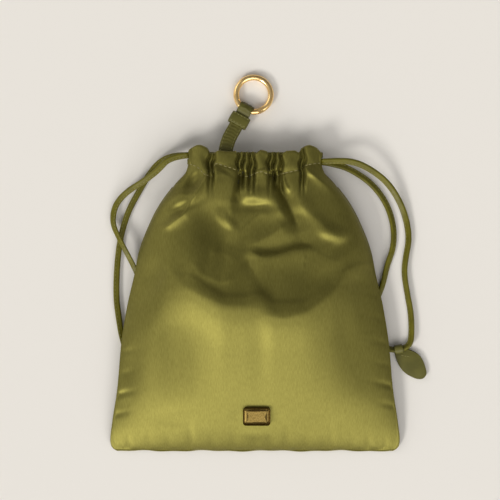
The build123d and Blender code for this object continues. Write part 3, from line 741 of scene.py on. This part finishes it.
def make_cord(name, route, twist, node):
    """One free loop of drawcord with the stitches along its thin edge."""
    points = spline_points(name, route)
    frames, total = cord_frames(points, twist)
    tube = section_tube(name, frames, CORD_SECTION)
    aside, out, pitch = 1.25, 0.62, 2.6        # the stitches' place in the section and their distance
    places, next_at = [], 1.2 * MM
    for a, b in zip(frames, frames[1:]):
        while a[4] <= next_at < b[4]:
            t = (next_at - a[4]) / (b[4] - a[4])
            where, side, up = a[0].lerp(b[0], t), a[2].lerp(b[2], t), a[3].lerp(b[3], t)
            for face in (-1, 1):
                places.append((where + side * (aside * MM) + up * (face * out * MM), a[1], up * face))
            next_at += pitch * MM
    dress(tube, CORD_LEATHER, "bag")
    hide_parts(node)
    row = stitches(name + "_stitches", places, CORD_STITCH, CORD_THREAD, "bag")
    return tube, row, points, total


def make_inner_cord(name, node, side, y):
    """The hidden stretch, flattened inside both casings."""
    near, far = side * 45.2, -side * 45.4
    route = [(near, y, 13.8), (near * 0.9, y, 13.4), (near * 0.5, y, 12.8), (0, y, 12.8),
             (far * 0.5, y, 12.8), (far * 0.92, y, 13.4), (far - side * 0.1, y, 13.4),
             (far - side * 0.9, y, 11.6), (far - side * 0.1, y, 9.8), (far * 0.92, y, 9.6),
             (far * 0.5, y, 8.6), (0, y, 8.6),
             (near * 0.5, y, 8.6), (near * 0.9, y, 9.2), (near, y, 9.4)]
    points = spline_points(name, route)
    frames, _ = cord_frames(points, lambda t: 0.0)
    flat = [(x * 0.95, z * 0.5) for x, z in CORD_SECTION]
    cord = section_tube(name, frames, flat)
    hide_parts(node)
    return dress(cord, CORD_LEATHER, "bag")


def make_cords():
    right_twist = curve_through([(0, 15), (0.12, 5), (0.22, 15), (0.36, 40), (0.46, 30), (0.52, 30),
                                 (0.6, 40), (0.75, 30), (0.9, 20), (1, 10)])
    left_twist = curve_through([(0, -10), (0.1, -20), (0.2, -35), (0.35, -30), (0.46, -40), (0.55, -40),
                                (0.66, -45), (0.75, -50), (0.82, -20), (0.92, -10), (1, -5)])
    right = make_cord("right_drawcord", RIGHT_ROUTE, right_twist, "drawcord_right_loop")
    left = make_cord("left_drawcord", LEFT_ROUTE, left_twist, "drawcord_left_loop")
    make_inner_cord("right_drawcord_inside", "drawcord_right_inner", 1, 199.6)
    make_inner_cord("left_drawcord_inside", "drawcord_left_inner", -1, 204.2)
    return right, left


def declare_cord(cord, exit_point):
    tube, row, points, total = cord
    tuple(place(*exit_point))
    [tuple(p) for p in points]


# ---- seams ---------------------------------------------------------------
def round_section(radius, count=8):
    return [(radius * math.cos(2 * math.pi * i / count), radius * math.sin(2 * math.pi * i / count))
            for i in range(count)]


def make_seam_edge():
    """The turned edge where front and back meet, down one side, along the hem and up the other."""
    heights = np.concatenate([np.linspace(182, 10, 90), np.linspace(8, 0, 12)])
    side = [(y, float(half_width(y))) for y in heights]
    hem = np.linspace(-side[-1][1], side[-1][1], 90)[1:-1]
    points = [place(-x, y, float(seam_height(y))) for y, x in side]
    points += [place(x, w, 1.85 + 0.1 * math.cos(x / 40)) for x, w in zip(hem, hem_wave(hem))]
    points += [place(x, y, float(seam_height(y))) for y, x in reversed(side)]
    frames, _ = cord_frames(points, lambda t: 0.0)
    edge = section_tube("seam_edge", frames, round_section(0.45))
    lay_weave(edge)
    return dress(edge, SATIN, "bag")


# ---- plaque --------------------------------------------------------------
PLAQUE_PLACE = (1.1, 25.2)
PLAQUE_SIZE = (18.8, 13.0, 1.2)


def make_plaque():
    """A plain metal plaque with a raised rim."""
    clear_selection()
    bpy.ops.mesh.primitive_cube_add(size=1.0)
    plaque = bpy.context.object
    plaque.name = "plaque"
    plaque.scale = [v * MM for v in PLAQUE_SIZE]
    bpy.ops.object.transform_apply(location=True, rotation=True, scale=True)
    set_mode("EDIT")
    bpy.ops.mesh.select_all(action="DESELECT")
    set_mode("OBJECT")
    for edge in plaque.data.edges:
        ends = [plaque.data.vertices[i].co for i in edge.vertices]
        edge.select = abs(ends[0].z - ends[1].z) > 0.5 * MM
    set_mode("EDIT")
    bpy.ops.mesh.select_mode(type="EDGE")
    bpy.ops.mesh.bevel(offset=2.2 * MM, segments=5)
    bpy.ops.mesh.select_all(action="DESELECT")
    bpy.ops.mesh.select_mode(type="FACE")
    set_mode("OBJECT")
    for face in plaque.data.polygons:
        face.select = face.normal.z > 0.9
    set_mode("EDIT")
    bpy.ops.mesh.inset(thickness=1.3 * MM)
    bpy.ops.mesh.inset(thickness=0.35 * MM, depth=-0.45 * MM)
    bpy.ops.mesh.inset(thickness=1.1 * MM, depth=0.12 * MM)
    set_mode("OBJECT")
    apply_modifier(plaque, "BEVEL", width=0.16 * MM, segments=2, limit_method="ANGLE")
    bpy.ops.object.shade_smooth_by_angle(angle=math.radians(50))
    # it lies along the cloth's slope, read this far out to the sides and up and down
    x, y = PLAQUE_PLACE
    far_x, far_y = 8, 5
    slope_x = float(front_point(x + far_x, y).z - front_point(x - far_x, y).z) / (2 * far_x * MM)
    slope_y = float(front_point(x, y + far_y).z - front_point(x, y - far_y).z) / (2 * far_y * MM)
    up = Vector((-slope_x, -slope_y, 1)).normalized()
    across = Vector((1, 0, slope_x)).normalized()
    turn = Matrix((across, up.cross(across), up)).transposed().to_4x4()
    plaque.data.transform(Matrix.Translation(front_point(x, y) + up * (0.75 * MM)) @ turn)
    plaque.data.update()
    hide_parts("emblem_plate")
    return dress(plaque, PLAQUE_GOLD, "bag")


# ---- strap ---------------------------------------------------------------
LOOP = (-6.6, 236.5, 3.8)               # centre of the strap's loop round the ring
STRAP_TURN = math.radians(29.0)
STRAP_SLOPE = math.radians(13.5)
STRAP_WIDTH = 9.8
LAYER = 1.3
BACKWARD = Vector((-math.sin(STRAP_TURN) * math.cos(STRAP_SLOPE),
                   -math.cos(STRAP_TURN) * math.cos(STRAP_SLOPE), math.sin(STRAP_SLOPE)))
SIDEWAYS = Vector((math.cos(STRAP_TURN), -math.sin(STRAP_TURN), 0))
STRAP_UP = SIDEWAYS.cross(-BACKWARD).normalized()
# the strap's middle line from its sewn end inside the sack to the straight stretch
STRAP_ROUTE = [(-23.0, 180.4, 5.6), (-22.6, 185, 7.6), (-22.0, 192, 10.5), (-21.4, 198, 10.9),
               (-20.7, 204, 11.4), (-20.0, 208.8, 11.5), (-18.9, 213.2, 10.4), (-17.2, 217.4, 9.05),
               (-15.55, 220.35, 8.25)]


def on_strap(distance, up=0.0):
    return place(*LOOP) + BACKWARD * (distance * MM) + STRAP_UP * (up * MM)


def strap_frames():
    """Frames along one leather strip: out in the upper layer, round the ring and back in the lower one."""
    centre = spline_points("strap_line", STRAP_ROUTE)
    lead, _ = cord_frames(centre, lambda t: 0.0)
    upper, lower = [], []
    for point, way, side, up, walked in lead:
        upper.append((point + up * (LAYER / 2 * MM), way, side, up, 0))
        lower.append((point - up * (LAYER / 2 * MM), -way, side, -up, 0))
    # distance from the loop's centre, height, and the way along and up
    front = [(distance, LAYER / 2, -1.0, 0.0) for distance in np.arange(18.0, 5.6, -0.5)]
    radius, entry = 3.18, math.radians(62)
    arc = [entry + (2 * math.pi - 2 * entry) * i / 40 for i in range(41)]
    turn = [(radius * math.cos(a), radius * math.sin(a), -math.sin(a), math.cos(a)) for a in arc]
    neck = [(4.6, 0.95, -0.93, 0.37), (3.6, 1.75, -0.85, 0.5), (2.5, 2.4, -0.87, 0.48)]
    path = front + neck + turn
    path += [(d, -u, -wd, wu) for d, u, wd, wu in reversed(neck)]
    path += [(d, -u, -wd, 0.0) for d, u, wd, wu in reversed(front)]
    frames = []
    for distance, up, way_d, way_u in path:
        way = (BACKWARD * way_d + STRAP_UP * way_u).normalized()
        frames.append((on_strap(distance, up), way, SIDEWAYS, SIDEWAYS.cross(way), 0))
    return upper + frames + list(reversed(lower))


def strip_tube(name, frames, wide, thick, ripple):
    """A leather strip: rounded edges, an edge pressed down by stitches, and a rippled middle."""
    across = np.array([-1, -0.96, -0.86, -0.74, -0.62, -0.4, -0.2, 0, 0.2, 0.4, 0.62, 0.74, 0.86, 0.96, 1])
    crown = np.array([0.25, 0.72, 0.96, 0.8, 1, 1, 1, 1, 1, 1, 1, 0.8, 0.96, 0.72, 0.25])
    points, walked, last = [], 0.0, frames[0][0]
    for point, way, side, up, _ in frames:
        walked += (point - last).length / MM
        last = point
        wave = ripple * np.cos(2 * np.pi * (walked / 2.3 + 0.55 * np.abs(across))) * (np.abs(across) < 0.7)
        high = thick / 2 * crown + wave
        low = -thick / 2 * crown
        for x, z in list(zip(across, high)) + list(zip(across[::-1], low[::-1])):
            points.append(point + side * (x * wide / 2 * MM) + up * (z * MM))
    return closed_mesh(name, points, tube_faces(len(frames), 2 * len(across)))


def make_strap():
    frames = strap_frames()
    strap = strip_tube("hang_strap", frames, STRAP_WIDTH, LAYER - 0.06, 0.14)
    dress(strap, STRAP_LEATHER)
    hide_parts("strap", "strap_root")
    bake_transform(strap)
    places = []
    outer = frames[:len(frames) // 2]        # the upper layer
    walked, next_at = 0.0, 1.0
    for a, b in zip(outer, outer[1:]):
        walked += (b[0] - a[0]).length / MM
        if walked >= next_at and (a[0] - place(*LOOP)).length > 5.2 * MM:
            for edge in (-1, 1):
                spot = a[0] + a[2] * (edge * 0.74 * STRAP_WIDTH / 2 * MM) + a[3] * ((LAYER / 2 - 0.05) * MM)
                places.append((spot, a[1], a[3]))
            next_at += 2.5
    rows = stitches("hang_strap_stitches", places, CORD_STITCH, CORD_THREAD, None, "strap_stitch")
    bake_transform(rows)


def make_keeper():
    """A stitched band round the strap."""
    wide, high, wall = STRAP_WIDTH / 2 + 0.9, LAYER + 0.3, 1.15
    corner = 0.9
    outline = []
    for cx, cy, start in ((wide - corner, high - corner, 0), (-wide + corner, high - corner, 90),
                          (-wide + corner, -high + corner, 180), (wide - corner, -high + corner, 270)):
        for step in range(6):
            a = math.radians(start + 18 * step)
            outline.append((cx + corner * math.cos(a), cy + corner * math.sin(a), math.cos(a), math.sin(a)))
    # along the strap: distance from the loop's centre and share of the wall's thickness
    lengths = [(5.4, 0.25), (5.55, 0.75), (6.0, 1.0), (6.5, 0.82), (7.0, 1.0), (8.2, 1.03), (9.4, 1.05),
               (10.6, 1.03), (11.8, 1.0), (12.3, 0.82), (12.8, 1.0), (13.25, 0.75), (13.4, 0.25)]
    points, count = [], len(outline)
    for distance, share in lengths:
        for x, z, nx, nz in outline:
            out = wall * share
            points.append(on_strap(distance, z + nz * out) + SIDEWAYS * ((x + nx * out) * MM))
    for distance in (lengths[-1][0], lengths[0][0]):
        points += [on_strap(distance, z) + SIDEWAYS * (x * MM) for x, z, nx, nz in outline]
    rows = len(lengths) + 2
    faces = [face for i in range(rows) for face in ring_faces(count, i, (i + 1) % rows)]
    keeper = closed_mesh("keeper_band", points, faces)
    dress(keeper, LEATHER, "keeper")
    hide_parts("keeper")
    places = []
    for distance in (6.5, 12.3):
        for x in np.arange(-5.0, 5.1, 2.5):
            spot = on_strap(distance, high + wall * 0.9) + SIDEWAYS * (x * MM)
            places.append((spot, SIDEWAYS, STRAP_UP))
    stitches("keeper_stitches", places, LEATHER_STITCH, CORD_THREAD, "keeper", "keeper_stitch")


# ---- pull tabs -----------------------------------------------------------
LEAF = [(-2.8, 0.4), (-2.9, 3.4), (-2.2, 9), (-0.2, 14.2), (2.8, 18.1), (8, 21.9), (12.1, 23.1), (14.9, 22),
        (16.5, 18.7), (15.6, 11.3), (13.2, 6.0), (8.6, 2.4), (5.4, 0.9), (2.8, 0.2)]

# the leather's bend round the cord: the middle of the leather, and its section across the bend
FOLD_RADIUS, FOLD_STEPS = 2.1 + 0.55, 24
FOLD_SECTION = [(-2.8, -0.5), (-2.8, 0.5), (-2.5, 0.62), (0, 0.62), (2.5, 0.62), (2.8, 0.5), (2.8, -0.5),
                (2.5, -0.55), (0, -0.55), (-2.5, -0.55)]


def smooth_loop(points, steps=6):
    """A closed smooth outline through the points."""
    out, n = [], len(points)
    for i in range(n):
        p0, p1, p2, p3 = (np.array(points[(i + k - 1) % n], float) for k in range(4))
        for step in range(steps):
            t = step / steps
            out.append(0.5 * (2 * p1 + (p2 - p0) * t + (2 * p0 - 5 * p1 + 4 * p2 - p3) * t**2
                              + (3 * p1 - p0 - 3 * p2 + p3) * t**3))
    return out


def leaf_layer(name, outline, to_world, low, high, dome):
    """One leather layer of a tab: rounded at its rim and slightly crowned."""
    centre = np.mean(outline, axis=0)
    rings = [(1.0, 0.5), (0.99, 0.85), (0.96, 1.0), (0.9, 0.8), (0.82, 1.0), (0.6, 1.0), (0.35, 1.0),
             (0.12, 1.0)]
    points, count = [], len(outline)
    for side in (1, -1):
        for share, full in (rings if side == 1 else rings[::-1]):
            for p in outline:
                x, y = centre + (p - centre) * share
                middle, thick = (low + high) / 2 + dome * (1 - share**2), (high - low) / 2
                points.append(to_world(x, y, middle + side * thick * full))
    half, rows = len(rings), 2 * len(rings)
    faces = [face for i in range(rows) if i != half - 1 for face in ring_faces(count, i, (i + 1) % rows)]
    faces.append(tuple(range((half - 1) * count, half * count)))
    faces.append(tuple(range(half * count, (half + 1) * count)))
    return closed_mesh(name, points, faces)


def make_tab(name, origin, x_dir, body, node, stitch_node):
    """A leather leaf folded round the drawcord, its two layers sewn together."""
    ox, oy = origin
    ax, ay = x_dir

    def to_world(x, y, z):
        return place(ox + ax * x + ay * y, oy + ay * x - ax * y, z)

    outline = smooth_loop(LEAF)
    inner = [p * 0.97 + np.array([-0.25, -0.5]) for p in outline]
    upper = leaf_layer(name + "_upper", outline, to_world, 1.55, 2.65, 0.25)
    lower = leaf_layer(name + "_lower", inner, to_world, 0.22, 1.3, 0.0)
    points = []
    for step in range(FOLD_STEPS + 1):
        angle = math.radians(-62 + 304 * step / FOLD_STEPS)
        for x, r in FOLD_SECTION:
            out = FOLD_RADIUS + r
            y, z = -out * math.sin(angle), TAB_CORD_Z + out * math.cos(angle)
            points.append(to_world(x, y, max(z, 0.15)))
    fold = closed_mesh(name + "_fold", points, tube_faces(FOLD_STEPS + 1, len(FOLD_SECTION)))
    select_only(upper)
    lower.select_set(True)
    fold.select_set(True)
    bpy.ops.object.join()
    tab = bpy.context.object
    tab.name = name
    dress(tab, LEATHER, body)
    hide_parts(node)
    places = []
    step_x, step_y, top = 1.9, 0.7, 2.85
    for i in range(3):
        x, y = 2.0 + step_x * i, 4.7 + step_y * i
        spot, ahead = to_world(x, y, top), to_world(x + step_x, y + step_y, top)
        places.append((spot, ahead - spot, Vector((0, 0, 1))))
    row = stitches(name + "_stitches", places, LEATHER_STITCH, CORD_THREAD, body, stitch_node)
    return tab, row


# ---- scene ---------------------------------------------------------------
add_camera()
add_surroundings()
RIGHT_CORD, LEFT_CORD = make_cords()
RIGHT_TAB = make_tab("right_tab", (99.41, 70.08), (0.9853, 0.1708), "tab_right", "pull_tab_right",
                     "pull_tab_right_stitch")
LEFT_TAB = make_tab("left_tab", (-82.46, 64.19), (0.9408, -0.339), "tab_left", "pull_tab_left",
                    "pull_tab_left_stitch")
declare_cord(RIGHT_CORD, RIGHT_ROUTE[0])
declare_cord(LEFT_CORD, LEFT_ROUTE[0])
make_front()
make_back()
make_lining("front_lining_cloth", "front_lining", True)
make_lining("back_lining_cloth", "back_lining", False)
make_casing_stitches()
make_seam_edge()
make_plaque()
make_strap()
make_keeper()
for node, material in (("ring_base", GOLD), ("ring_bow", GOLD), ("ring_pin", GOLD),
                       ("side_seam_thread_left", THREAD), ("side_seam_thread_right", THREAD),
                       ("bottom_seam_thread", THREAD), ("back_casing_stitch", THREAD)):
    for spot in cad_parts[node].material_slots:
        spot.material = material
